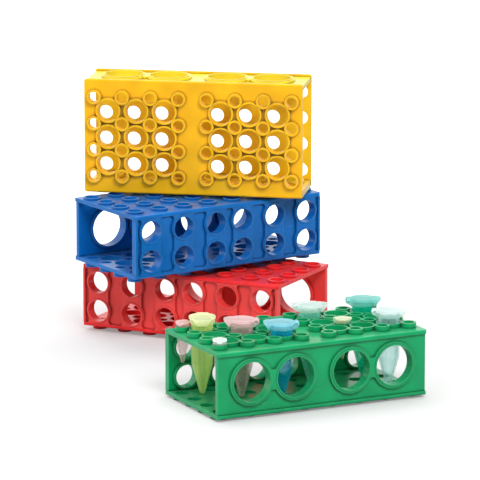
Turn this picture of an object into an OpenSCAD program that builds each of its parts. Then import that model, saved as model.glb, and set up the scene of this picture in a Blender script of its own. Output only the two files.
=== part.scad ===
// Set of four moulded four-way tube racks, three of them stacked and one
// holding six large and three small snap-lid sample tubes. Each rack is two
// plates snapped onto two side walls. Millimetres, +Z up. The origin lies on
// the surface, under the middle of the green rack, whose length runs along X
// and whose side with four large holes faces -Y.

/* [Rack] */
// Length of a rack, along its open ends
rack_l = 174; // [170:1:180]
// Width of the top and bottom plates
rack_w = 91; // [89:1:96]
// Height over the top and bottom plates, without the rings
rack_h = 50; // [49:1:56]
// Thickness of the top and bottom plates
plate_t = 2.9; // [2:0.1:3.2]
// Thickness of the two side walls
wall_t = 3.6; // [2.5:0.1:4.5]
// How far the plates stand proud of the side walls
lip = 2; // [1.2:0.1:2.4]
// How far the plates reach past the ends of the side walls
end_lip = 0.6; // [0.3:0.1:1]
// Rounding of the four long outer edges
edge_r = 1.6; // [0.8:0.1:1.8]
// Rounding of the corners of the plates
corner_r = 2; // [1:0.1:3]

/* [Hole grids] */
// Spacing of the holes along the rack
pitch_x = 22.5; // [22.2:0.1:23]
// Spacing of the holes across the rack
pitch_y = 21; // [20.5:0.1:21.5]
// Bore of the holes for small tubes
small_d = 8.3; // [7.5:0.1:9]
// Outside of the rings round them
small_ring_d = 11.4; // [11.2:0.1:12]
// Height of the rings round them
small_ring_h = 4; // [3:0.1:5]
// Bore of the holes for large tubes
large_d = 17.2; // [16.8:0.1:17.4]
// Outside of the rings round them
large_ring_d = 20; // [19.6:0.1:20.4]
// Height of the rings round them
large_ring_h = 3.2; // [2.5:0.1:3.6]
// Bore of the holes for micro tubes in the other plate
micro_d = 11; // [10.6:0.1:11.4]
// Outside of the rings round them
micro_ring_d = 14; // [13.4:0.1:15]
// Height of the rings round them
micro_ring_h = 1.9; // [1.4:0.1:2.4]

/* [Side holes] */
// Bore of the four large side holes
wide_d = 30.2; // [29:0.1:31]
// Outside of the rings round them
wide_ring_d = 35.6; // [34.5:0.1:35.8]
// Distance of the inner pair from the middle
wide_inner_x = 23.2; // [22:0.1:24]
// Spacing within each pair
wide_pitch = 36; // [35.9:0.1:37]
// Bore of the twelve side holes
slim_d = 17.4; // [16.8:0.1:18]
// Outside of the rings round them
slim_ring_d = 21.2; // [20.8:0.1:21.2]
// Distance of the innermost columns from the middle
slim_inner_x = 12.5; // [12:0.1:13]
// Spacing of the columns on each half
slim_pitch = 30; // [29:0.1:30.5]
// Spacing of the two rows
slim_row = 23; // [22.8:0.1:23.4]
// How far the side rings stand beyond the plates
side_ring_out = 0.3; // [0.2:0.1:0.6]
// How far the bead at the mouth of a side hole stands beyond the plates
bead_out = 0.8; // [0.7:0.1:1.2]
// Width of that bead
bead_w = 1.2; // [0.9:0.1:1.5]
// How far the collars reach inside the side walls
collar_in = 2.6; // [1.5:0.1:4]
// Thickness of those collars
collar_t = 1.6; // [1.2:0.1:1.8]

/* [Joints of a rack] */
// Length of a tongue of a side wall that snaps into a plate
tongue_l = 16; // [10:1:20]
// Thickness of a tongue
tongue_t = 1.6; // [1.2:0.1:2]
// Height of a tongue
tongue_h = 1.3; // [1:0.1:1.6]
// Spacing of the five tongues on each edge
tongue_pitch = 36; // [30:1:38]
// Clearance round a tongue
tongue_gap = 0.1; // [0.05:0.05:0.2]

/* [Large tubes] */
// Length of a large tube from its tip to the top of its lid
tube_l = 60; // [58:0.5:62]
// Outside of its body
tube_d = 16.2; // [15.5:0.1:16.6]
// Wall thickness
tube_wall = 1.1; // [0.8:0.1:1.3]
// Height of its conical end
tube_cone = 24; // [20:1:28]
// Outside of the lid
lid_d = 20; // [19:0.1:20.5]

/* [Small tubes] */
// Length of a small tube from its tip to the top of its lid
vial_l = 32; // [30:0.5:33]
// Outside of its body
vial_d = 7.8; // [7.4:0.1:7.9]
// Outside of its lid
vial_lid_d = 10.6; // [10:0.1:11]

/* [Stack] */
// Clearance between stacked racks
stack_gap = 0.1; // [0.05:0.05:0.3]

/* [Hidden] */
eps = 0.01;
wall_h = rack_h - 2 * plate_t;               // a side wall between its plates
wall_face = rack_w / 2 - lip;                // outer plane of a side wall
wall_back = wall_face - wall_t;              // inner plane of a side wall
wall_mid = wall_face - wall_t / 2;
post_w = 1.8;                                // width of the post at each end of a slim wall
wall_l = rack_l - 2 * end_lip;
recess_r = 2.5;                              // corners of the recesses between the pads
ring_face = rack_w / 2 + side_ring_out;      // outer plane of the side rings
bead_face = rack_w / 2 + bead_out;           // outer plane of the beads
wide_z = rack_h / 2 + 1;                     // the large side holes sit a little high
bridge_w = 6;                                // joins the two wide rings of a pair
bridge_h = 15;
pad_w = 17.2;                                // joins the two slim rings of a column
foot_d = 8;                                  // foot at the middle of the micro plate
small_cols = [for (i = [0 : 7]) (i - 3.5) * pitch_x];
small_rows = [for (j = [0 : 3]) (j - 1.5) * pitch_y];
large_cols = [for (i = [-3, -2, -1, 1, 2, 3]) i * pitch_x];
large_rows = [-pitch_y, 0, pitch_y];
pair_x = wide_inner_x + wide_pitch / 2;
wide_cols = [-wide_inner_x - wide_pitch, -wide_inner_x,
             wide_inner_x, wide_inner_x + wide_pitch];
slim_cols = [for (s = [-1, 1]) for (i = [0 : 2]) s * (slim_inner_x + i * slim_pitch)];
slim_rows = [rack_h / 2 - slim_row / 2, rack_h / 2 + slim_row / 2];
tongue_cols = [for (i = [-2 : 2]) i * tongue_pitch];

// rack places: [x, y] of the middle, and the turn about Z
red_at = [34, 223.7];
red_yaw = -53.6;
blue_at = [28.3, 226.4];
blue_yaw = 7;
yellow_at = [32.6, 234];
yellow_yaw = -35.6;
green_z = micro_ring_h;
red_z = small_ring_h;
blue_z = red_z + rack_h + micro_ring_h + stack_gap + small_ring_h;
yellow_z = blue_z + rack_h + micro_ring_h + stack_gap;
green_plastic = "#1f9a4e";
red_plastic = "#d91f2e";
blue_plastic = "#1c6fba";
yellow_plastic = "#f7c81c";

// tubes: hole as [column, row] counted in spacings from the middle, and the turn of the tab
lime_spot = [-3, 1];
lime_turn = -116;
pink_spot = [-2, 0];
pink_turn = 154;
blue_spot = [-1, -1];
blue_turn = 154;
mint_spot = [1, 1];
mint_turn = -26;
teal_spot = [3, 1];
teal_turn = -26;
clear_spot = [3, -1];
clear_turn = -26;
pink_vial_spot = [-3.5, 1.5];
pink_vial_turn = -135;
white_vial_spot = [-3.5, -1.5];
white_vial_turn = -116;
cream_vial_spot = [1.5, -0.5];
cream_vial_turn = -26;
rest_gap = 0.05;    // between a tube and what it rests on
lid_gap = 0.05;     // between a tube's mouth and its lid
plug_gap = 0.3;     // round the plug, so that it swings clear of the mouth
tab_gap = 0.4;      // between the collar and the gusset
gusset_foot = 0.3;  // width of the gusset's lower end, in thicknesses of the tab
hinge_slit = 0.02;  // half the slit between the two halves of a hinge
strap_root = 0.5;   // how deep the strap runs into the lid or the collar
tab_corner = 0.8;   // corner radius of the thumb tab, in its thicknesses
gusset_share = 0.9; // width of the gusset, in widths of the tab

// a size of tube is a list; these are the places of its values
LEN = 0;            // from the tip to the top of the lid
BODY_D = 1;
WALL = 2;
CONE = 3;           // height of the cone
TIP_R = 4;
COLLAR_D = 5;
COLLAR_H = 6;
LID_D = 7;
LID_T = 8;
DISH = 9;           // depth of the dish in the lid
PLUG_H = 10;
TAB_OUT = 11;       // reach of the thumb tab from the axis
TAB_W = 12;
TAB_T = 13;
GUSSET = 14;        // height of the gusset under the tab
HINGE_OUT = 15;     // reach of the hinge strap from the axis
HINGE_R = 16;
STRAP_T = 17;
STRAP_W = 18;
NECK_D = 19;        // of the collar's lower end
FLARE_H = 20;       // over which the collar widens
LARGE = [tube_l, tube_d, tube_wall, tube_cone, 2.2, tube_d + 2.6, 4.4,
         lid_d, 2, 0.8, 2.2, lid_d / 2 + 3.6, 15, 1.2, 4,
         lid_d / 2 + 3, 2, 0.8, 9, tube_d, 1.6];
SMALL = [vial_l, vial_d, 0.7, 13, 1.4, vial_d + 2.2, 2.4,
         vial_lid_d, 1.2, 0.4, 1.4, vial_lid_d / 2 + 1.8, 5, 0.9, 1.4,
         vial_lid_d / 2 + 1.6, 1.1, 0.5, 3.6, vial_d + 2.2, 1];
function hinge_z(s) = s[LEN] - s[HINGE_R];
function mouth_z(s) = s[LEN] - s[LID_T] - lid_gap;
function plug_r(s) = s[BODY_D] / 2 - s[WALL] - plug_gap;

// ---- racks ----
// A rack is drawn with its tube plate up and its four-hole side at -Y, and
// with the outside of its micro plate at z = 0.

// circles of diameter d at every crossing of the columns and rows
module dots(cols, rows, d) {
    for (x = cols) for (y = rows) translate([x, y]) circle(d = d, $fn = 48);
}

// section of a plate, its outside down at z = 0 with both edges rounded
module plate_section() {
    translate([-rack_w / 2 + edge_r, 0]) square([rack_w - 2 * edge_r, plate_t]);
    translate([-rack_w / 2, edge_r]) square([rack_w, plate_t - edge_r]);
    for (s = [-1, 1])
        translate([s * (rack_w / 2 - edge_r), edge_r]) circle(r = edge_r, $fn = 32);
}

// the blocks that are tongues of the side wall at y, or with play their pockets
module tongues(y, z, play) {
    for (x = tongue_cols) translate([x, y, z])
        cube([tongue_l + 2 * play, tongue_t + 2 * play, 2 * (tongue_h + play)], center = true);
}

// outline of a plate from above
module plate_outline() {
    square([rack_l - 2 * corner_r, rack_w], center = true);
    square([rack_l, rack_w - 2 * corner_r], center = true);
    for (x = [-1, 1]) for (y = [-1, 1])
        translate([x * (rack_l / 2 - corner_r), y * (rack_w / 2 - corner_r)])
            circle(r = corner_r, $fn = 48);
}

// a plate lying with its outside down, with the pockets for both walls
module blank_plate() {
    difference() {
        intersection() {
            rotate([90, 0, 90]) linear_extrude(rack_l, center = true) plate_section();
            linear_extrude(plate_t) plate_outline();
        }
        for (s = [-1, 1]) tongues(s * wall_mid, plate_t, tongue_gap);
    }
}

// the plate with the small and large holes, on top
module tube_plate() {
    difference() {
        union() {
            translate([0, 0, rack_h]) mirror([0, 0, 1]) blank_plate();
            translate([0, 0, rack_h - eps]) linear_extrude(small_ring_h + eps)
                dots(small_cols, small_rows, small_ring_d);
            translate([0, 0, rack_h - eps]) linear_extrude(large_ring_h + eps)
                dots(large_cols, large_rows, large_ring_d);
        }
        translate([0, 0, rack_h / 2]) linear_extrude(rack_h) union() {
            dots(small_cols, small_rows, small_d);
            dots(large_cols, large_rows, large_d);
        }
    }
}

// the plate with the micro tube holes, at the bottom, with a foot at its middle
module micro_plate() {
    difference() {
        union() {
            blank_plate();
            translate([0, 0, -micro_ring_h]) linear_extrude(micro_ring_h + eps) union() {
                dots(small_cols, small_rows, micro_ring_d);
                circle(d = foot_d, $fn = 48);
            }
        }
        translate([0, 0, -rack_h / 2]) linear_extrude(rack_h)
            dots(small_cols, small_rows, micro_d);
    }
}

// a layer of a side wall between two planes across the rack, drawn in 2D
module side_layer(from, to) {
    translate([0, from, 0]) rotate([90, 0, 0]) mirror([0, 0, 1])
        linear_extrude(to - from) children();
}

// a bare side wall at y < 0: a panel and its tongues
module blank_side() {
    translate([-wall_l / 2, -wall_face, plate_t]) cube([wall_l, wall_t, wall_h]);
    for (z = [plate_t, rack_h - plate_t]) tongues(-wall_mid, z, 0);
}

// a side wall at y < 0 with a bead, a collar and a bore at each crossing; the
// child is the 2D outline of its rings
module pierced_side(cols, rows, bore) {
    difference() {
        union() {
            blank_side();
            side_layer(-ring_face, -wall_mid) children();
            side_layer(-bead_face, -wall_mid) dots(cols, rows, bore + 2 * bead_w);
            side_layer(-wall_mid, collar_in - wall_back) dots(cols, rows, bore + 2 * collar_t);
        }
        side_layer(-rack_w, 0) dots(cols, rows, bore);
    }
}

module wide_rings() {
    for (s = [-1, 1]) translate([s * pair_x, wide_z])
        square([bridge_w, bridge_h], center = true);
    dots(wide_cols, [wide_z], wide_ring_d);
}

module slim_rings() {
    for (x = slim_cols) translate([x, rack_h / 2]) {
        square([pad_w, wall_h], center = true);
        for (a = [0, 1]) mirror([a, 0]) for (b = [0, 1]) mirror([0, b])
            recess_corner();
    }
    dots(slim_cols, slim_rows, slim_ring_d);
}

// what rounds the corner between a pad and the plate below it
module recess_corner() {
    translate([pad_w / 2, -wall_h / 2]) difference() {
        square(recess_r);
        translate([recess_r, recess_r]) circle(r = recess_r, $fn = 48);
    }
}

module wide_side() { pierced_side(wide_cols, [wide_z], wide_d) wide_rings(); }
module slim_side() {
    mirror([0, 1, 0]) {
        pierced_side(slim_cols, slim_rows, slim_d) slim_rings();
        for (x = [-wall_l / 2, wall_l / 2 - post_w])
            translate([x, -rack_w / 2, plate_t]) cube([post_w, lip + wall_t / 2, wall_h]);
    }
}

// where the pieces of each rack go
module in_green() { translate([0, 0, green_z]) children(); }
module in_red() {
    translate([red_at[0], red_at[1], red_z]) rotate(red_yaw) upside_down() children();
}
module in_blue() {
    translate([blue_at[0], blue_at[1], blue_z]) rotate(blue_yaw) upside_down() children();
}
module in_yellow() {
    translate([yellow_at[0], yellow_at[1], yellow_z]) rotate(yellow_yaw) on_slim_side() children();
}
module upside_down() { translate([0, 0, rack_h]) rotate([180, 0, 0]) children(); }
module on_slim_side() { translate([0, rack_h / 2, bead_face]) rotate([-90, 0, 180]) children(); }

module green_tube_plate() { color(green_plastic) in_green() tube_plate(); }
module green_micro_plate() { color(green_plastic) in_green() micro_plate(); }
module green_wide_side() { color(green_plastic) in_green() wide_side(); }
module green_slim_side() { color(green_plastic) in_green() slim_side(); }
module red_tube_plate() { color(red_plastic) in_red() tube_plate(); }
module red_micro_plate() { color(red_plastic) in_red() micro_plate(); }
module red_wide_side() { color(red_plastic) in_red() wide_side(); }
module red_slim_side() { color(red_plastic) in_red() slim_side(); }
module blue_tube_plate() { color(blue_plastic) in_blue() tube_plate(); }
module blue_micro_plate() { color(blue_plastic) in_blue() micro_plate(); }
module blue_wide_side() { color(blue_plastic) in_blue() wide_side(); }
module blue_slim_side() { color(blue_plastic) in_blue() slim_side(); }
module yellow_tube_plate() { color(yellow_plastic) in_yellow() tube_plate(); }
module yellow_micro_plate() { color(yellow_plastic) in_yellow() micro_plate(); }
module yellow_wide_side() { color(yellow_plastic) in_yellow() wide_side(); }
module yellow_slim_side() { color(yellow_plastic) in_yellow() slim_side(); }

// ---- tubes ----
// Every tube and lid is drawn upright about its own axis with the tip at z = 0,
// the lid's thumb tab towards +X and its hinge towards -X.

// a round-ended cone that runs straight up to top; half is its radius
module tube_form(half, tip_r, base, cone_top, top) {
    lean = atan((half - tip_r) / (cone_top - base - tip_r));
    rotate_extrude($fn = 64) polygon(concat(
        [for (i = [0 : 6]) let (a = -90 + i * (90 - lean) / 6)
            [tip_r * cos(a), base + tip_r + tip_r * sin(a)]],
        [[half, cone_top], [half, top], [0, top]]));
}

// the upper or lower quarter of the bent hinge strap, and its web to the lid or collar
module strap_quarter(s, upper) {
    hinge_x = s[HINGE_R] - s[HINGE_OUT];
    around = 2 * s[HINGE_R];
    half_z = upper ? hinge_slit : -hinge_slit - around;
    web_z = upper ? s[HINGE_R] - s[STRAP_T] : -s[HINGE_R];
    web_to = -(upper ? s[LID_D] : s[COLLAR_D]) / 2 + strap_root;
    translate([0, s[STRAP_W] / 2, hinge_z(s)]) rotate([90, 0, 0]) linear_extrude(s[STRAP_W]) {
        intersection() {
            translate([hinge_x, 0]) difference() {
                circle(r = s[HINGE_R], $fn = 48);
                circle(r = s[HINGE_R] - s[STRAP_T], $fn = 48);
            }
            translate([hinge_x - around, half_z]) square(around);
        }
        translate([hinge_x - eps, web_z]) square([web_to - hinge_x + eps, s[STRAP_T]]);
    }
}

// the collar under the lid, which widens above the neck
module collar(s) {
    low = mouth_z(s) - s[COLLAR_H];
    rotate_extrude($fn = 64) polygon([
        [0, low], [s[NECK_D] / 2, low], [s[COLLAR_D] / 2, low + s[FLARE_H]],
        [s[COLLAR_D] / 2, mouth_z(s)], [0, mouth_z(s)]]);
}

// the tube itself: hollow conical body, collar under the lid, lower half of the hinge
module snap_tube(s) {
    mouth = mouth_z(s);
    difference() {
        union() {
            tube_form(s[BODY_D] / 2, s[TIP_R], 0, s[CONE], mouth);
            collar(s);
            strap_quarter(s, false);
            hinge_rib(s);
        }
        tube_form(s[BODY_D] / 2 - s[WALL], s[TIP_R] - s[WALL] / 2, s[WALL], s[CONE], s[LEN]);
    }
}

// the wedge that carries the hinge strap on the tube
module hinge_rib(s) {
    web = hinge_z(s) - s[HINGE_R] + s[STRAP_T] / 2;
    translate([0, s[STRAP_W] / 2, 0]) rotate([90, 0, 0]) linear_extrude(s[STRAP_W])
        polygon([[s[HINGE_R] - s[HINGE_OUT], web], [-s[BODY_D] / 2 + strap_root, web],
                 [-s[BODY_D] / 2 + strap_root, mouth_z(s) - s[COLLAR_H]],
                 [-s[NECK_D] / 2, mouth_z(s) - s[COLLAR_H]]]);
}

// the lid: dished disc, hollow plug, thumb tab on a gusset, upper half of the hinge
module snap_lid(s) {
    under = s[LEN] - s[LID_T];
    plug = plug_r(s);
    difference() {
        union() {
            translate([0, 0, under]) cylinder(d = s[LID_D], h = s[LID_T], $fn = 64);
            translate([0, 0, under - s[PLUG_H]]) cylinder(r = plug, h = s[PLUG_H] + eps, $fn = 64);
            translate([0, 0, s[LEN] - s[TAB_T]]) linear_extrude(s[TAB_T]) lid_tab(s);
            lid_gusset(s);
            strap_quarter(s, true);
        }
        translate([0, 0, s[LEN] - s[DISH]])
            cylinder(r = plug + s[WALL] / 2, h = s[DISH] + eps, $fn = 64);
        translate([0, 0, under - s[PLUG_H] - eps])
            cylinder(r = plug - s[WALL], h = s[PLUG_H] + 2 * eps, $fn = 64);
    }
}

// the wedge that stiffens the thumb tab from below
module lid_gusset(s) {
    high = s[LEN] - s[TAB_T] / 2;
    low = s[LEN] - s[LID_T] - s[GUSSET];
    inner = s[COLLAR_D] / 2 + tab_gap;
    foot = inner + gusset_foot * s[TAB_T];
    width = s[TAB_W] * gusset_share;
    difference() {
        translate([0, width / 2, 0]) rotate([90, 0, 0]) linear_extrude(width)
            polygon([[0, high], [s[TAB_OUT] - s[TAB_T] / 2, high], [foot, low], [0, low]]);
        translate([0, 0, low - eps])
            cylinder(r = inner, h = s[GUSSET] + 2 * eps, $fn = 64);
    }
}

// outline of the thumb tab, with two rounded corners
module lid_tab(s) {
    corner = s[TAB_T] * tab_corner;
    root = s[LID_D] / 4;
    narrow = s[TAB_W] - 2 * corner;
    translate([root, -s[TAB_W] / 2]) square([s[TAB_OUT] - corner - root, s[TAB_W]]);
    translate([root, -narrow / 2]) square([s[TAB_OUT] - root, narrow]);
    for (y = [-1, 1])
        translate([s[TAB_OUT] - corner, y * narrow / 2]) circle(r = corner, $fn = 24);
}

// a large tube stands on the bottom plate in large hole [column, row], tab towards turn
module in_large_hole(spot, turn) {
    translate([spot[0] * pitch_x, spot[1] * pitch_y, green_z + plate_t + rest_gap])
        rotate(turn) children();
}

// a small tube hangs by its collar on the ring of small hole [column, row]
module in_small_hole(spot, turn) {
    translate([spot[0] * pitch_x, spot[1] * pitch_y,
               green_z + rack_h + small_ring_h + rest_gap + SMALL[COLLAR_H] - mouth_z(SMALL)])
        rotate(turn) children();
}

module lime_tube() { color("#b9d66a") in_large_hole(lime_spot, lime_turn) snap_tube(LARGE); }
module lime_lid() { color("#eef0b4") in_large_hole(lime_spot, lime_turn) snap_lid(LARGE); }
module pink_tube() { color("#e6c3bd") in_large_hole(pink_spot, pink_turn) snap_tube(LARGE); }
module pink_lid() { color("#f7c9d3") in_large_hole(pink_spot, pink_turn) snap_lid(LARGE); }
module blue_tube() { color("#46b3d6") in_large_hole(blue_spot, blue_turn) snap_tube(LARGE); }
module blue_lid() { color("#a9dcee") in_large_hole(blue_spot, blue_turn) snap_lid(LARGE); }
module mint_tube() { color("#7fd3bf") in_large_hole(mint_spot, mint_turn) snap_tube(LARGE); }
module mint_lid() { color("#eef6f6") in_large_hole(mint_spot, mint_turn) snap_lid(LARGE); }
module teal_tube() { color("#55b9a8") in_large_hole(teal_spot, teal_turn) snap_tube(LARGE); }
module teal_lid() { color("#7cc9cb") in_large_hole(teal_spot, teal_turn) snap_lid(LARGE); }
module clear_tube() { color("#b7dde0") in_large_hole(clear_spot, clear_turn) snap_tube(LARGE); }
module clear_lid() { color("#f1f4f6") in_large_hole(clear_spot, clear_turn) snap_lid(LARGE); }
module pink_vial() { color("#e8b9bb") in_small_hole(pink_vial_spot, pink_vial_turn) snap_tube(SMALL); }
module pink_vial_lid() { color("#f6b6bf") in_small_hole(pink_vial_spot, pink_vial_turn) snap_lid(SMALL); }
module white_vial() { color("#f4f4f4") in_small_hole(white_vial_spot, white_vial_turn) snap_tube(SMALL); }
module white_vial_lid() { color("#ffffff") in_small_hole(white_vial_spot, white_vial_turn) snap_lid(SMALL); }
module cream_vial() { color("#f3ecc9") in_small_hole(cream_vial_spot, cream_vial_turn) snap_tube(SMALL); }
module cream_vial_lid() { color("#f5edc4") in_small_hole(cream_vial_spot, cream_vial_turn) snap_lid(SMALL); }

green_tube_plate();
green_micro_plate();
green_wide_side();
green_slim_side();
red_tube_plate();
red_micro_plate();
red_wide_side();
red_slim_side();
blue_tube_plate();
blue_micro_plate();
blue_wide_side();
blue_slim_side();
yellow_tube_plate();
yellow_micro_plate();
yellow_wide_side();
yellow_slim_side();
lime_tube();
lime_lid();
pink_tube();
pink_lid();
blue_tube();
blue_lid();
mint_tube();
mint_lid();
teal_tube();
teal_lid();
clear_tube();
clear_lid();
pink_vial();
pink_vial_lid();
white_vial();
white_vial_lid();
cream_vial();
cream_vial_lid();
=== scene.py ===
"""Looks for a set of four stacked tube racks and nine snap-lid sample tubes."""

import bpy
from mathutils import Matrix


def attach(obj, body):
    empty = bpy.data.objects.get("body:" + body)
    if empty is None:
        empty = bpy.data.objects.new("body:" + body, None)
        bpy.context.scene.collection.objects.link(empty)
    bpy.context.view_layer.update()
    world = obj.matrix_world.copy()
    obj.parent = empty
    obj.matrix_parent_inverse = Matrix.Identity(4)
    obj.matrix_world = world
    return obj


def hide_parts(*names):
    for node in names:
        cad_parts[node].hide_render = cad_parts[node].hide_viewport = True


bl_info = {
    "name": "Tube rack set",
    "version": (1, 0, 0),
    "blender": (4, 5, 0),
    "location": "View3D > Sidebar > Tube racks",
    "description": "Moulded tube racks with frosted snap-lid tubes on a pale table",
    "category": "Add Mesh",
}

from collections import namedtuple
from math import cos, radians, sin

import bpy
import numpy as np
from bpy.props import FloatProperty, FloatVectorProperty, PointerProperty
from mathutils import Vector

MM = 0.001

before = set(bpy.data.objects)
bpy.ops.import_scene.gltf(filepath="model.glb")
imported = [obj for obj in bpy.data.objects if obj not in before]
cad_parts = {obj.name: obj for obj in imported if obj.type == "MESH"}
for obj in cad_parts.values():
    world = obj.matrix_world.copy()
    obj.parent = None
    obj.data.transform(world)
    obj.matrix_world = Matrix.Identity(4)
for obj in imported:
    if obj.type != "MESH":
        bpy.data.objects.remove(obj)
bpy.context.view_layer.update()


# ---- shader building -------------------------------------------------------


class Signal:
    """A number socket that adds Math nodes when it is used in an expression."""

    def __init__(self, finish, socket):
        self.finish = finish
        self.socket = socket

    def math(self, operation, *values, clamp=False):
        settings = {"operation": operation, "use_clamp": clamp}
        made = self.finish.node("ShaderNodeMath", settings, dict(enumerate(values)))
        return Signal(self.finish, made.outputs[0])

    def __add__(self, other):
        return self.math("ADD", self, other)

    def __radd__(self, other):
        return self.math("ADD", other, self)

    def __sub__(self, other):
        return self.math("SUBTRACT", self, other)

    def __rsub__(self, other):
        return self.math("SUBTRACT", other, self)

    def __mul__(self, other):
        return self.math("MULTIPLY", self, other)

    def __rmul__(self, other):
        return self.math("MULTIPLY", other, self)

    def __pow__(self, other):
        return self.math("POWER", self, other)

    def between(self, low, high):
        """0 below low, 1 above high, with a smooth step between them."""
        settings = {"interpolation_type": "SMOOTHSTEP"}
        sockets = {"Value": self, "From Min": low, "From Max": high}
        made = self.finish.node("ShaderNodeMapRange", settings, sockets)
        return Signal(self.finish, made.outputs["Result"])


class Finish:
    """A material, or a world, and the one way in which its nodes are made."""

    def __init__(self, owner):
        owner.use_nodes = True
        self.owner = owner
        self.tree = owner.node_tree
        self.tree.nodes.clear()

    def node(self, kind, settings=None, sockets=None):
        made = self.tree.nodes.new(kind)
        for key, value in (settings or {}).items():
            setattr(made, key, value)
        for key, value in (sockets or {}).items():
            if isinstance(value, Signal):
                value = value.socket
            if isinstance(value, bpy.types.NodeSocket):
                self.tree.links.new(value, made.inputs[key])
            else:
                made.inputs[key].default_value = value
        return made

    def read(self, node, output):
        return Signal(self, node.outputs[output])

    def noise(self, where, size, detail=2.0, stretch=None):
        """Smooth noise from 0 to 1 whose features are about size metres wide."""
        if stretch:
            scaled = {"Vector": where, "Scale": stretch}
            where = self.node("ShaderNodeMapping", None, scaled).outputs[0]
        sockets = {"Vector": where, "Scale": 1 / size, "Detail": detail}
        return self.read(self.node("ShaderNodeTexNoise", None, sockets), "Fac")

    def blend(self, amount, first, second):
        """The first colour where amount is 0 and the second where it is 1."""
        settings = {"data_type": "RGBA"}
        sockets = {0: amount, 6: first, 7: second}
        return self.node("ShaderNodeMix", settings, sockets).outputs[2]

    def bump(self, height, strength, depth, normal):
        sockets = {"Height": height, "Strength": strength, "Distance": depth,
                   "Normal": normal}
        return self.node("ShaderNodeBump", None, sockets).outputs[0]


def rgba(colour, gain=1.0):
    return tuple(min(1.0, c * gain) for c in colour[:3]) + (1.0,)


def dress(node_name, material):
    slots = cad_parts[node_name].data.materials
    slots.clear()
    slots.append(material)


# ---- racks -----------------------------------------------------------------

# place of each rack's own axes: middle of its lower plate, and its turn
RACK_PLACES = {
    "green": ((0, 0, 1.9), (0, 0, 0)),
    "red": ((34.0, 223.7, 54), (180, 0, -53.6)),
    "blue": ((28.3, 226.4, 110), (180, 0, 7.0)),
    "yellow": ((47.15, 254.33, 158.3), (-90, 0, 144.4)),
}
RACK_PANELS = ("tube_plate", "micro_plate", "wide_side", "slim_side")
# paler colour of the same plastic: painted light on thin edges and lit-through
# panels, and the colour of scuffs
PALE_LIT_AND_WORN_COLOURS = {
    "green": (0.12, 0.56, 0.24),
    "red": (0.95, 0.13, 0.11),
    "blue": (0.06, 0.32, 0.70),
    "yellow": (0.97, 0.84, 0.05),
}
# how much of that paler colour the whole of a panel takes, as painted light that
# makes it look lit through
PANEL_PAINTED_GLOW = {
    ("yellow", "wide_side"): 0.75,
    ("yellow", "slim_side"): 0.35,
    ("yellow", "micro_plate"): 0.25,
    ("red", "wide_side"): 0.35,
    ("red", "slim_side"): 0.35,
}


def rack_plastic(rack, colour, panel, props):
    """Semi-gloss polypropylene. Thin edges and some panels are painted a paler
    colour that stands for light shining through them, and the creases get
    painted shade. The faces carry a fine orange peel, slow flow marks and
    light scuffs along the length."""
    finish = Finish(bpy.data.materials.new(rack + "_" + panel + "_plastic"))
    place, turn = RACK_PLACES[rack]
    sockets = {
        "Vector": finish.node("ShaderNodeTexCoord").outputs["Object"],
        "Location": tuple(v * MM for v in place),
        "Rotation": tuple(radians(v) for v in turn),
    }
    own = finish.node("ShaderNodeMapping", {"vector_type": "TEXTURE"}, sockets)
    own = own.outputs[0]
    geometry = finish.node("ShaderNodeNewGeometry")
    rounded = finish.node("ShaderNodeBevel", {"samples": 6},
                          {"Radius": props.edge_round}).outputs[0]
    facing = finish.node(
        "ShaderNodeVectorMath", {"operation": "DOT_PRODUCT"},
        {0: rounded, 1: geometry.outputs["True Normal"]},
    )
    # occlusion finds the creases, which get painted shade below
    near = {"Distance": props.painted_shade_reach, "Normal": geometry.outputs["True Normal"]}
    occlusion = finish.node("ShaderNodeAmbientOcclusion", {"samples": 8}, near)
    shut_in = 1 - finish.read(occlusion, "AO")
    crease = shut_in.between(0.12, 0.5)
    # painted highlight: a mask of the rounded edges, kept out of the creases
    edge = (1 - finish.read(facing, "Value")).between(0.004, 0.10)
    edge = edge * (1 - shut_in.between(0.05, 0.2))
    flow = finish.noise(own, 22 * MM, 1.5)
    cloud = finish.noise(own, 6 * MM, 3.0)
    scratch = finish.noise(own, 1.1 * MM, 4.0, (0.06, 1.0, 1.0))
    scuff = scratch.between(0.66, 0.72) * cloud.between(0.5, 0.62)
    # the paler colour, for painted light at edges and panels and for scuffs
    thin = PALE_LIT_AND_WORN_COLOURS[rack]
    # painted light: the whole panel's colour moves toward the paler colour
    glow = PANEL_PAINTED_GLOW.get((rack, panel), 0.0)
    body = tuple(c + (t - c) * glow for c, t in zip(colour, thin))
    plain = finish.blend(flow.between(0.3, 0.7), rgba(body, 0.90), rgba(body, 1.08))
    worn = finish.blend(scuff * 0.25, plain, rgba(thin))
    # painted edge highlight: the edges take the paler colour
    with_edge_light = finish.blend(edge * props.painted_edge_light, worn, rgba(thin))
    # painted shade: the creases darken toward a fifth of the rack's colour
    final = finish.blend(crease * props.painted_shade_depth, with_edge_light, rgba(colour, 0.2))
    peel = finish.noise(own, 0.7 * MM, 2.0)
    height = peel * 0.3 + flow + scuff * 0.4
    normal = finish.bump(height, 0.25, 0.08 * MM, rounded)
    rough = props.roughness + cloud * 0.08 + scuff * 0.22
    shader = finish.node("ShaderNodeBsdfPrincipled", None, {
        "Base Color": final, "Roughness": rough, "Normal": normal,
        "IOR": 1.49, "Specular IOR Level": 0.18, "Coat Weight": 0.3,
        "Coat Roughness": 0.06, "Coat IOR": 1.4, "Sheen Weight": 0.1,
        "Sheen Roughness": 0.4,
    })
    finish.node("ShaderNodeOutputMaterial", None, {"Surface": shader.outputs[0]})
    return finish.owner


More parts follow.
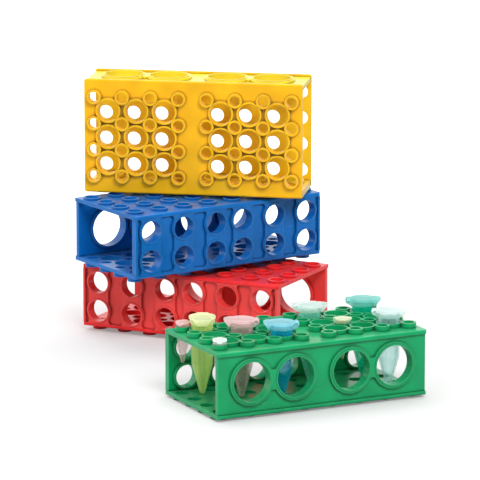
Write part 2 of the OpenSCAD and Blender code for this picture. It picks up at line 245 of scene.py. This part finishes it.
class RackLooks(bpy.types.PropertyGroup):
    green: FloatVectorProperty(
        name="Green rack", description="Colour of the rack that holds the tubes",
        subtype="COLOR", default=(0.004, 0.340, 0.120))
    red: FloatVectorProperty(
        name="Red rack", description="Colour of the lowest rack of the stack",
        subtype="COLOR", default=(0.880, 0.020, 0.024))
    blue: FloatVectorProperty(
        name="Blue rack", description="Colour of the middle rack of the stack",
        subtype="COLOR", default=(0.001, 0.150, 0.520))
    yellow: FloatVectorProperty(
        name="Yellow rack", description="Colour of the rack on top of the stack",
        subtype="COLOR", default=(0.930, 0.490, 0.003))
    edge_round: FloatProperty(
        name="Edge rounding", description="Radius that the moulded edges show",
        unit="LENGTH", default=0.45 * MM)
    # share of the painted edge highlight, in the paler colour
    painted_edge_light: FloatProperty(
        name="Edge glow", description="How far thin edges take the paler colour",
        subtype="FACTOR", min=0, max=1, default=0.6)
    # how far the painted shade in the creases spreads; it is painted shade only
    painted_shade_reach: FloatProperty(
        name="Crease reach", description="How far dust and shade spread from a crease",
        unit="LENGTH", default=3 * MM)
    # how far the painted shade darkens the creases
    painted_shade_depth: FloatProperty(
        name="Crease depth", description="How far the creases darken",
        subtype="FACTOR", min=0, max=1, default=0.6)
    roughness: FloatProperty(
        name="Roughness", description="Roughness of the clean plastic",
        subtype="FACTOR", min=0, max=1, default=0.28)


class RACKSET_OT_racks(bpy.types.Operator):
    """Gives the four racks their coloured plastic"""

    bl_idname = "rackset.racks"
    bl_label = "Four moulded racks"

    def execute(self, context):
        props = context.scene.rackset_racks
        for rack in RACK_PLACES:
            for panel in RACK_PANELS:
                plastic = rack_plastic(rack, getattr(props, rack), panel, props)
                dress(rack + "_" + panel, plastic)
        return {"FINISHED"}


# ---- surfaces --------------------------------------------------------------


# edges sharper than this many degrees stay sharp in a smooth surface
SHARP_FROM = 50
# half of a tab's width is never more than this share of its circle's radius
TAB_SHARE = 0.7
# a tab's sides meet their circle this many degrees beyond its corners
TAB_ROOT = 5


def skin(name, points, material):
    """Closed surface over a grid of points in millimetres. Its first and last
    rows are poles, each one point, and its columns close on themselves."""
    rows, columns = points.shape[:2]
    rings = points[1:-1].reshape(-1, 3)
    vertices = np.concatenate([points[:1, 0], rings, points[-1:, 0]]) * MM
    index = 1 + np.arange((rows - 2) * columns).reshape(rows - 2, columns)
    beside = np.roll(index, -1, axis=1)
    quads = np.stack([index[:-1], beside[:-1], beside[1:], index[1:]], -1)
    first = np.stack([np.zeros(columns, int), beside[0], index[0]], -1)
    last = np.stack([index[-1], beside[-1], np.full(columns, len(vertices) - 1)], -1)
    mesh = bpy.data.meshes.new(name)
    faces = quads.reshape(-1, 4).tolist() + first.tolist() + last.tolist()
    mesh.from_pydata(vertices, [], faces)
    mesh.shade_smooth()
    mesh.set_sharp_from_angle(angle=radians(SHARP_FROM))
    mesh.materials.append(material)
    piece = bpy.data.objects.new(name, mesh)
    bpy.context.scene.collection.objects.link(piece)
    return piece


def turned(points, spot, turn):
    """Points turned about Z by turn degrees and then moved to spot."""
    a = radians(turn)
    spin = np.array([[cos(a), sin(a), 0], [-sin(a), cos(a), 0], [0, 0, 1]])
    return points @ spin + np.array(spot)


def outlines(radius, reach, half, back_reach, back_half, corner):
    """One closed outline in each row, as x and y. It is a circle of that radius
    with a tab to x = reach and one to x = -back_reach, each half wide on either
    side of the X axis. A tab's end is max(circle, reach less a corner arc), its
    sides run back to the circle, and the lower half mirrors the upper one."""

    def tab(reach, half, count):
        half = np.minimum(half, TAB_SHARE * radius)
        y = half * np.sin(np.linspace(0, np.pi / 2, count))
        into = np.clip(y - (half - corner), 0, corner)
        end = reach - corner + np.sqrt(corner**2 - into**2)
        x = np.maximum(np.sqrt(radius**2 - y**2), end)
        root = np.arcsin(half / radius) + radians(TAB_ROOT)
        share = np.linspace(0, 1, 5)[1:]
        side_x = x[:, -1:] + (radius * np.cos(root) - x[:, -1:]) * share
        side_y = half + (radius * np.sin(root) - half) * share
        return np.hstack([x, side_x]), np.hstack([y, side_y]), root

    x, y, root = tab(reach, half, 14)
    back_x, back_y, back_root = tab(back_reach, back_half, 10)
    share = np.linspace(0, 1, 26)[1:-1]
    angle = root + (np.pi - back_root - root) * share
    x = np.hstack([x, radius * np.cos(angle), -back_x[:, ::-1]])
    y = np.hstack([y, radius * np.sin(angle), back_y[:, ::-1]])
    return np.hstack([x, x[:, -2:0:-1]]), np.hstack([y, -y[:, -2:0:-1]])


# ---- tubes -----------------------------------------------------------------

# name, what it is, and its value in millimetres for a large and a small tube
TUBE_SIZES = (
    ("length", "Length from the tip to the top of the lid", 60.0, 32.0),
    ("body", "Radius of the body", 8.1, 3.9),
    ("wall", "Thickness of the wall", 1.1, 0.7),
    ("cone", "Height of the conical end", 24.0, 13.0),
    ("tip", "Radius of the rounded tip", 2.2, 1.4),
    ("neck", "Radius of the collar's lower end", 8.1, 5.0),
    ("collar", "Radius of the collar under the lid", 9.4, 5.0),
    ("collar_height", "Height of the collar", 4.4, 2.4),
    ("flare", "Height over which the collar widens", 1.6, 1.0),
    ("lid", "Radius of the lid", 10.0, 5.3),
    ("lid_height", "Thickness of the lid at its rim", 2.0, 1.2),
    ("dish", "Depth of the dish in the lid", 0.8, 0.4),
    ("plug", "Depth of the plug under the lid", 2.2, 1.4),
    ("tab", "Reach of the thumb tab from the axis", 13.6, 7.1),
    ("tab_half", "Half of the width of the thumb tab", 7.5, 2.5),
    ("tab_height", "Thickness of the thumb tab", 1.2, 0.9),
    ("gusset", "Depth of the gusset under the thumb tab", 4.0, 1.4),
    ("hinge", "Reach of the hinge from the axis", 13.0, 6.9),
    ("hinge_bend", "Outer radius of the hinge's bend", 2.0, 1.1),
    ("strap", "Thickness of the hinge strap", 0.8, 0.5),
    ("strap_half", "Half of the width of the hinge strap", 4.5, 1.8),
)
# gaps in millimetres: over the mouth, round the plug, round the collar, and
# between the halves of the hinge
LID_GAP = 0.05
PLUG_GAP = 0.3
GUSSET_GAP = 0.4
HINGE_SLIT = 0.02


def size_group(name, column):
    """PropertyGroup with one length for each line of the table of sizes."""
    lengths = {
        key: FloatProperty(name=key.replace("_", " ").capitalize(), description=text,
                           unit="LENGTH", default=values[column] * MM)
        for key, text, *values in TUBE_SIZES
    }
    return type(name, (bpy.types.PropertyGroup,), {"__annotations__": lengths})


LargeTube = size_group("LargeTube", 0)
SmallTube = size_group("SmallTube", 1)


class Sizes:
    """The lengths of one size of tube, in millimetres."""

    def __init__(self, group):
        for key, *_ in TUBE_SIZES:
            setattr(self, key, getattr(group, key) / MM)
        self.mouth = self.length - self.lid_height - LID_GAP
        self.hinge_z = self.length - self.hinge_bend


class TubeLooks(bpy.types.PropertyGroup):
    body: FloatProperty(
        name="Body haze", subtype="FACTOR", min=0, max=1, default=0.22,
        description="How much of the view one surface of a tube's wall hides")
    lid: FloatProperty(
        name="Lid haze", subtype="FACTOR", min=0, max=1, default=0.42,
        description="How much of the view one surface of a lid hides")
    rim: FloatProperty(
        name="Rim haze", subtype="FACTOR", min=0, max=1, default=0.45,
        description="How much more is hidden where the wall is seen edge on")
    glow: FloatProperty(
        name="Glow", subtype="FACTOR", min=0, max=1, default=0.6,
        description="Share of the light that shines on through a hazy wall")
    gloss: FloatProperty(
        name="Roughness", description="Roughness of the frosted plastic",
        subtype="FACTOR", min=0, max=1, default=0.12)


# of each tube: where its tip stands, in millimetres, the turn of its tab in
# degrees, the colours of its wall and of its milky lid and collar, and how
# hazy its body is as a share of the body haze
Tube = namedtuple("Tube", "spot turn tint milk haze")
TUBES = {
    "lime": Tube(
        (-67.5, 21.0, 4.85), -116, (0.82, 1.00, 0.46), (0.97, 0.98, 0.74), 1.3),
    "pink": Tube(
        (-45.0, 0.0, 4.85), 154, (0.80, 0.72, 0.66), (0.99, 0.80, 0.82), 0.7),
    "blue": Tube(
        (-22.5, -21.0, 4.85), 154, (0.01, 0.66, 0.82), (0.52, 0.86, 0.94), 1.0),
    "mint": Tube(
        (22.5, 21.0, 4.85), -26, (0.36, 0.96, 0.80), (0.92, 0.98, 0.97), 0.8),
    "teal": Tube(
        (67.5, 21.0, 4.85), -26, (0.02, 0.84, 0.58), (0.40, 0.82, 0.79), 1.2),
    "clear": Tube(
        (67.5, -21.0, 4.85), -26, (0.70, 0.98, 0.95), (0.92, 0.97, 0.98), 0.4),
    "pink_vial": Tube(
        (-78.75, 31.5, 27.6), -135, (0.95, 0.84, 0.82), (0.98, 0.76, 0.76), 0.5),
    "white_vial": Tube(
        (-78.75, -31.5, 27.6), -116, (0.92, 0.96, 0.96), (0.97, 0.99, 0.98), 0.5),
    "cream_vial": Tube(
        (33.75, -10.5, 27.6), -26, (0.90, 0.94, 0.68), (0.95, 0.97, 0.82), 0.5),
}


def body_profile(half, tip, base, cone_top):
    """Radius and height up a round-ended cone: a ball of radius tip as far as
    the slope's normal, then the slope to half at cone_top, its knee rounded."""
    lean = np.arctan((half - tip) / (cone_top - base - tip))
    angle = np.linspace(-np.pi / 2, -lean, 9)[1:]
    ball = np.stack([tip * np.cos(angle), base + tip + tip * np.sin(angle)], -1)
    foot = ball[-1]
    knee = np.array([half, cone_top])
    near = knee + (foot - knee) * np.array([[0.5], [0.06], [0.02]])
    above = np.array([[half - 0.01, cone_top + 0.5], [half, cone_top + 1.4]])
    return np.vstack([ball, near, above])


def tube_rows(s):
    """Rows up the outside, over the rim of the mouth and down the inside, as
    radius, height and reach of the rib that carries the hinge."""
    low = s.mouth - s.collar_height
    web = s.hinge_z - s.hinge_bend
    bend = s.hinge - s.hinge_bend
    r, top = s.collar, s.mouth
    outside = body_profile(s.body, s.tip, 0, s.cone)
    collar = np.array([
        [s.body, low - 0.4, 0], [s.neck, low, 0],
        [s.neck + (r - s.neck) * 0.5, low + s.flare * 0.5, s.neck + 0.2 * (bend - s.neck)],
        [r, low + s.flare, s.neck + 0.6 * (bend - s.neck)],
        [r, web, bend - 0.2], [r, web + 0.1, bend], [r, web + s.strap - 0.1, bend],
        [r, web + s.strap, bend - 0.1], [r, web + s.strap + 0.05, 0],
        [r, top - 0.4, 0], [r - 0.1, top - 0.1, 0], [r - 0.4, top, 0],
    ])
    inner = s.body - s.wall
    inside = body_profile(inner, s.tip - s.wall / 2, s.wall, s.cone)[::-1]
    lip = np.array([[inner + 0.3, top, 0], [inner + 0.08, top - 0.1, 0],
                    [inner, top - 0.4, 0]])
    plain = [np.pad(part, ((0, 0), (0, 1))) for part in (outside, inside)]
    return np.vstack([plain[0], collar, lip, plain[1]])


def tube_surface(s):
    """Outlines of the tube's rows at their heights, with a pole at each tip."""
    radius, height, back = (column[:, None] for column in tube_rows(s).T)
    x, y = outlines(radius, 0 * radius, s.strap_half, back, s.strap_half, 0.3)
    rings = np.stack([x, y, height + 0 * x], -1)
    tips = np.zeros((2, 1, x.shape[1], 3))
    tips[1, ..., 2] = s.wall
    return np.concatenate([tips[0], rings, tips[1]])


def lid_surface(s):
    """Rows from the middle of the underside, down and round the plug, out under
    the rim, round the gusset, and over the rim and the dish to the middle of
    the top. A row has one height at the tab and one all round the rest."""
    top, under = s.length, s.length - s.lid_height
    plug = s.body - s.wall - PLUG_GAP
    core = plug - s.wall
    low = under - s.plug
    foot = under - s.gusset
    inner = s.collar + GUSSET_GAP
    edge = top - s.tab_height
    dish = plug + s.wall / 2
    wide, narrow = s.tab_half, s.tab_half * 0.5
    # radius, reach and half width of the tab, height all round and at the tab
    rows = np.array([
        [core * 0.5, 0, wide, under, under], [core - 0.2, 0, wide, under, under],
        [core, 0, wide, under - 0.2, under - 0.2], [core, 0, wide, low + 0.3, low + 0.3],
        [core + 0.15, 0, wide, low, low], [plug - 0.25, 0, wide, low, low],
        [plug, 0, wide, low + 0.4, low + 0.4], [plug, 0, wide, under - 0.1, under - 0.1],
        [plug + 0.1, 0, wide, under, under], [inner - 0.1, 0, narrow, under, under],
        [inner, 0, narrow, under, foot], [inner, inner + 0.3, narrow, under, foot],
        [inner + 0.02, inner + 0.36, narrow + 0.1, under + 0.02, foot + 0.1],
        [inner + 0.03, inner + 0.5 * (s.tab - inner), 0.5 * (narrow + wide),
         under + 0.03, foot + 0.55 * (edge - foot)],
        [inner + 0.04, s.tab - s.tab_height * 0.5, wide - 0.3, under + 0.05, edge - 0.3],
        [s.lid - 0.1, s.tab - 0.15, wide, under + 0.1, edge],
        [s.lid, s.tab, wide, under + 0.25, edge + 0.25],
        [s.lid, s.tab, wide, top - 0.35, top - 0.35],
        [s.lid - 0.1, s.tab - 0.1, wide, top - 0.1, top - 0.1],
        [s.lid - 0.35, s.tab - 0.35, wide, top, top],
        [s.lid - 0.75, s.tab - 0.75, wide, top - 0.05, top - 0.05],
        [s.lid - 1.1, s.tab - 1.1, wide, top - s.dish * 0.4, top - s.dish * 0.4],
        [dish + 0.2, 0, wide, top - s.dish * 0.45, top - s.dish * 0.45],
        [dish, 0, wide, top - s.dish * 0.6, top - s.dish * 0.6],
        [dish - 0.3, 0, wide, top - s.dish * 0.95, top - s.dish * 0.95],
        [dish - 0.8, 0, wide, top - s.dish, top - s.dish],
        [dish * 0.4, 0, wide, top - s.dish, top - s.dish],
    ])
    radius, reach, half, height, at_tab = (column[:, None] for column in rows.T)
    x, y = outlines(radius, reach, half, 0 * radius, half, half * 0.6)
    tab_half = np.minimum(half, TAB_SHARE * radius)
    inside_tab = (x > 0) & (np.abs(y) <= tab_half + 0.01)
    rings = np.stack([x, y, np.where(inside_tab, at_tab, height)], -1)
    poles = np.zeros((2, 1, x.shape[1], 3))
    poles[0, ..., 2] = under
    poles[1, ..., 2] = top - s.dish
    return np.concatenate([poles[0], rings, poles[1]])


def strap_surface(s, upper):
    """One half of the bent strap: a rounded oblong carried along a straight
    line out from the rim and round a quarter circle to the hinge's line."""
    sign = 1 if upper else -1
    bend = s.hinge_bend - s.strap / 2
    centre = -(s.hinge - s.hinge_bend)
    start = -(s.lid if upper else s.hinge - s.hinge_bend) + 0.4
    slit = HINGE_SLIT / bend
    turn = np.linspace(np.pi / 2, slit, 12)
    path_x = np.concatenate([[start], centre - bend * np.cos(turn)])
    path_z = np.concatenate([[bend], bend * np.sin(turn)]) * sign + s.hinge_z
    lean = np.concatenate([[np.pi / 2], turn])
    out_x, out_z = -np.cos(lean), sign * np.sin(lean)
    a = np.linspace(0, 2 * np.pi, 32, endpoint=False)
    wide = s.strap_half * np.sign(np.cos(a)) * np.abs(np.cos(a)) ** 0.3
    thick = s.strap / 2 * np.sign(np.sin(a)) * np.abs(np.sin(a)) ** 0.6
    across = np.full((len(path_x), 1), sign) * wide
    rings = np.stack([path_x[:, None] + out_x[:, None] * thick, across,
                      path_z[:, None] + out_z[:, None] * thick], -1)
    ends = np.stack([path_x, 0 * path_x, path_z], -1)[[0, -1], None]
    ends = np.repeat(ends, 32, axis=1)
    return np.concatenate([ends[:1], rings, ends[1:]])


def frosted_plastic(name, tint, milk, haze, band, props):
    """Natural polypropylene: a tinted wall drawn in vertical streaks, with a painted
    highlight that turns it paler where seen edge on, and milky above the height
    of the band, where two walls meet.
    Part of the light that meets the back of a wall shines on through it, and
    what is seen through the wall takes a little of its tint."""
    finish = Finish(bpy.data.materials.new(name + "_plastic"))
    coords = finish.node("ShaderNodeTexCoord").outputs["Object"]
    split = finish.node("ShaderNodeSeparateXYZ", None, {0: coords})
    milky = finish.read(split, "Z").between(band - 0.4 * MM, band + 0.4 * MM)
    cloud = finish.noise(coords, 2.5 * MM, 3.0)
    streak = finish.noise(coords, 1.6 * MM, 2.0, (1.0, 1.0, 0.04))
    drawn = streak.between(0.35, 0.65) * (1 - milky)
    weight = finish.node("ShaderNodeLayerWeight", None, {"Blend": 0.35})
    side = finish.read(weight, "Facing")
    wall = finish.blend(drawn, rgba(tint, 0.97), rgba(tint, 1.05))
    # painted rim highlight: paler toward the milk colour where the wall is seen edge on
    pale = finish.blend(side.between(0.35, 0.95) * 0.7, wall, rgba(milk))
    colour = finish.blend(milky, pale, rgba(milk))
    hidden = haze + side * props.rim + milky * 0.2 + drawn * 0.05 + cloud * 0.04
    hidden = hidden.math("MINIMUM", hidden, 1.0)
    shader = finish.node("ShaderNodeBsdfPrincipled", None, {
        "Base Color": colour, "Roughness": props.gloss + cloud * 0.1,
        "IOR": 1.49, "Alpha": hidden,
    })
    back = finish.node("ShaderNodeBsdfTranslucent", None, {"Color": colour})
    clear = finish.node("ShaderNodeBsdfTransparent", None,
                        {"Color": rgba([0.6 + 0.4 * c for c in tint])})
    veil = finish.node("ShaderNodeMixShader", None,
                       {0: hidden, 1: clear.outputs[0], 2: back.outputs[0]})
    both = finish.node("ShaderNodeMixShader", None,
                       {0: props.glow, 1: shader.outputs[0], 2: veil.outputs[0]})
    finish.node("ShaderNodeOutputMaterial", None, {"Surface": both.outputs[0]})
    return finish.owner


def fit(node, surfaces, tube, material):
    """Puts the surfaces in the place of a CAD node; they ride on its body."""
    for part, points in surfaces.items():
        piece = skin(node + part, turned(points, tube.spot, tube.turn), material)
        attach(piece, node)
        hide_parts(node)
        node + "_plastic"


class RACKSET_OT_tubes(bpy.types.Operator):
    """Makes the bodies of the nine tubes, with the lower halves of the hinges"""

    bl_idname = "rackset.tubes"
    bl_label = "Tube bodies"

    def execute(self, context):
        scene = context.scene
        looks = scene.rackset_tubes
        for key, tube in TUBES.items():
            small = key.endswith("vial")
            s = Sizes(scene.rackset_small if small else scene.rackset_large)
            node = key if small else key + "_tube"
            band = (tube.spot[2] + s.mouth - s.collar_height + s.flare / 2) * MM
            haze = looks.body * tube.haze
            plastic = frosted_plastic(node, tube.tint, tube.milk, haze, band, looks)
            parts = {"_body": tube_surface(s), "_strap": strap_surface(s, False)}
            fit(node, parts, tube, plastic)
        return {"FINISHED"}


class RACKSET_OT_lids(bpy.types.Operator):
    """Makes the nine lids, with the upper halves of the hinges"""

    bl_idname = "rackset.lids"
    bl_label = "Snap lids"

    def execute(self, context):
        scene = context.scene
        looks = scene.rackset_tubes
        for key, tube in TUBES.items():
            small = key.endswith("vial")
            s = Sizes(scene.rackset_small if small else scene.rackset_large)
            node = key + "_lid"
            plastic = frosted_plastic(node, tube.milk, tube.milk, looks.lid, 0.0, looks)
            parts = {"_cap": lid_surface(s), "_strap": strap_surface(s, True)}
            fit(node, parts, tube, plastic)
        return {"FINISHED"}


# ---- studio ----------------------------------------------------------------


class StudioLooks(bpy.types.PropertyGroup):
    table: FloatVectorProperty(
        name="Table", description="Colour of the table", subtype="COLOR",
        default=(0.55, 0.55, 0.55))
    table_lift: FloatProperty(
        name="Table lift", description="How far the table round the racks is lifted",
        min=0, max=2, default=0.23)
    sky: FloatProperty(
        name="Room light", description="Strength of the light from the white room",
        min=0, max=2, default=0.9)
    key_power: FloatProperty(
        name="Key light", description="Power of the soft box over the front",
        unit="POWER", default=36.0)


# of each soft box: its place, what it points at, its size in metres, and its
# share of the key light's power
SOFT_BOXES = {
    "key_light": ((-0.2, -1.5, 1.5), (0, 0.1, 0.1), (1.0, 0.9), 1.0),
    "top_light": ((0.2, 0.5, 1.9), (0, 0.1, 0.0), (1.6, 1.6), 0.5),
}
# light of the room from behind, above, the left and everywhere
ROOM_BEHIND, ROOM_ABOVE, ROOM_LEFT, ROOM_ALL = 1.2, 0.1, 0.8, 0.12
# the table's lift grows to full white between these distances from the middle
LIFT_FROM, LIFT_TO = 0.22, 0.7
CAMERA_AT = (-1.4575, -2.8486, 0.8142)
CAMERA_TURN = (77.76, 0.0, -26.35)
CAMERA_LENS = 330.0
SENSOR = 36.0


def soft_box(name, at, target, size, power):
    lamp = bpy.data.lights.new(name, "AREA")
    lamp.shape = "RECTANGLE"
    lamp.size, lamp.size_y = size
    lamp.energy = power
    holder = bpy.data.objects.new(name, lamp)
    bpy.context.scene.collection.objects.link(holder)
    holder.location = at
    back = np.subtract(at, target)
    holder.rotation_euler = Vector(back).to_track_quat("Z", "Y").to_euler()


def table_top(props):
    """A flat square, 24 m wide, under the racks. It is lifted to white far from
    them, and near them only so far that it still shows their shade."""
    half = 12.0
    corner = np.array([-1.0, 1.0]) * half
    x, y = np.meshgrid(corner, corner)
    points = np.stack([x, y, np.zeros_like(x)], -1).reshape(-1, 3)
    mesh = bpy.data.meshes.new("table_top")
    mesh.from_pydata(points, [], [(0, 1, 3, 2)])
    table = bpy.data.objects.new("table_top", mesh)
    bpy.context.scene.collection.objects.link(table)
    finish = Finish(bpy.data.materials.new("table_top"))
    path = finish.node("ShaderNodeLightPath")
    seen = finish.read(path, "Is Camera Ray")
    through = finish.read(path, "Is Transmission Ray")
    matt = finish.node("ShaderNodeBsdfDiffuse", None, {"Color": rgba(props.table)})
    coords = finish.node("ShaderNodeTexCoord").outputs["Object"]
    away = finish.node("ShaderNodeVectorMath", {"operation": "LENGTH"}, {0: coords})
    far = finish.read(away, "Value").between(LIFT_FROM, LIFT_TO)
    lift = far + (1 - far) * props.table_lift
    glow = finish.node("ShaderNodeEmission", None, {
        "Color": (1, 1, 1, 1),
        "Strength": seen.math("MAXIMUM", seen, through) * lift,
    })
    both = finish.node("ShaderNodeAddShader", None,
                       {0: matt.outputs[0], 1: glow.outputs[0]})
    finish.node("ShaderNodeOutputMaterial", None, {"Surface": both.outputs[0]})
    mesh.materials.append(finish.owner)


def white_room(props):
    """A room that is white to the eye. Its light is strongest from behind the
    racks and from their left, and weakest from the front."""
    world = bpy.data.worlds.new("white_room")
    bpy.context.scene.world = world
    finish = Finish(world)
    path = finish.node("ShaderNodeLightPath")
    seen = finish.read(path, "Is Camera Ray")
    through = finish.read(path, "Is Transmission Ray")
    direction = finish.node("ShaderNodeTexCoord").outputs["Generated"]
    split = finish.node("ShaderNodeSeparateXYZ", None, {0: direction})
    behind = finish.read(split, "Y").between(-0.2, 0.6)
    above = finish.read(split, "Z").between(0.4, 0.9)
    left = (-1 * finish.read(split, "X")).between(0.2, 0.9)
    shine = behind * ROOM_BEHIND + above * ROOM_ABOVE + left * ROOM_LEFT + ROOM_ALL
    shine = shine * props.sky
    white = seen.math("MAXIMUM", seen, through)
    strength = white + (1 - white) * shine
    light = finish.node("ShaderNodeBackground", None,
                        {"Color": (1, 1, 1, 1), "Strength": strength})
    finish.node("ShaderNodeOutputWorld", None, {"Surface": light.outputs[0]})


class RACKSET_OT_studio(bpy.types.Operator):
    """Sets up the pale table, the soft light and the camera"""

    bl_idname = "rackset.studio"
    bl_label = "Studio"

    def execute(self, context):
        props = context.scene.rackset_studio
        table_top(props)
        white_room(props)
        for name, (at, target, size, share) in SOFT_BOXES.items():
            soft_box(name, at, target, size, props.key_power * share)
        lens = bpy.data.cameras.new("camera")
        lens.lens = CAMERA_LENS
        lens.sensor_width = SENSOR
        lens.clip_end = 100
        camera = bpy.data.objects.new("camera", lens)
        context.scene.collection.objects.link(camera)
        camera.location = CAMERA_AT
        camera.rotation_euler = tuple(radians(v) for v in CAMERA_TURN)
        context.scene.camera = camera
        context.scene.view_settings.view_transform = "Standard"
        return {"FINISHED"}


class RACKSET_PT_panel(bpy.types.Panel):
    bl_label = "Tube racks"
    bl_idname = "RACKSET_PT_panel"
    bl_space_type = "VIEW_3D"
    bl_region_type = "UI"
    bl_category = "Tube racks"

    def draw(self, context):
        for operator in OPERATORS:
            self.layout.operator(operator.bl_idname)
        for name in PROPERTIES:
            group = getattr(context.scene, name)
            for key in group.bl_rna.properties.keys():
                if key not in {"rna_type", "name"}:
                    self.layout.prop(group, key)


PROPERTIES = {
    "rackset_racks": RackLooks,
    "rackset_tubes": TubeLooks,
    "rackset_large": LargeTube,
    "rackset_small": SmallTube,
    "rackset_studio": StudioLooks,
}
OPERATORS = (RACKSET_OT_racks, RACKSET_OT_tubes, RACKSET_OT_lids, RACKSET_OT_studio)


def register():
    for made in (*PROPERTIES.values(), *OPERATORS, RACKSET_PT_panel):
        bpy.utils.register_class(made)
    for name, made in PROPERTIES.items():
        setattr(bpy.types.Scene, name, PointerProperty(type=made))


def unregister():
    for name in PROPERTIES:
        delattr(bpy.types.Scene, name)
    for made in reversed((*PROPERTIES.values(), *OPERATORS, RACKSET_PT_panel)):
        bpy.utils.unregister_class(made)


def main():
    register()
    bpy.ops.rackset.racks()
    bpy.ops.rackset.tubes()
    bpy.ops.rackset.lids()
    bpy.ops.rackset.studio()


if __name__ == "__main__":
    main()
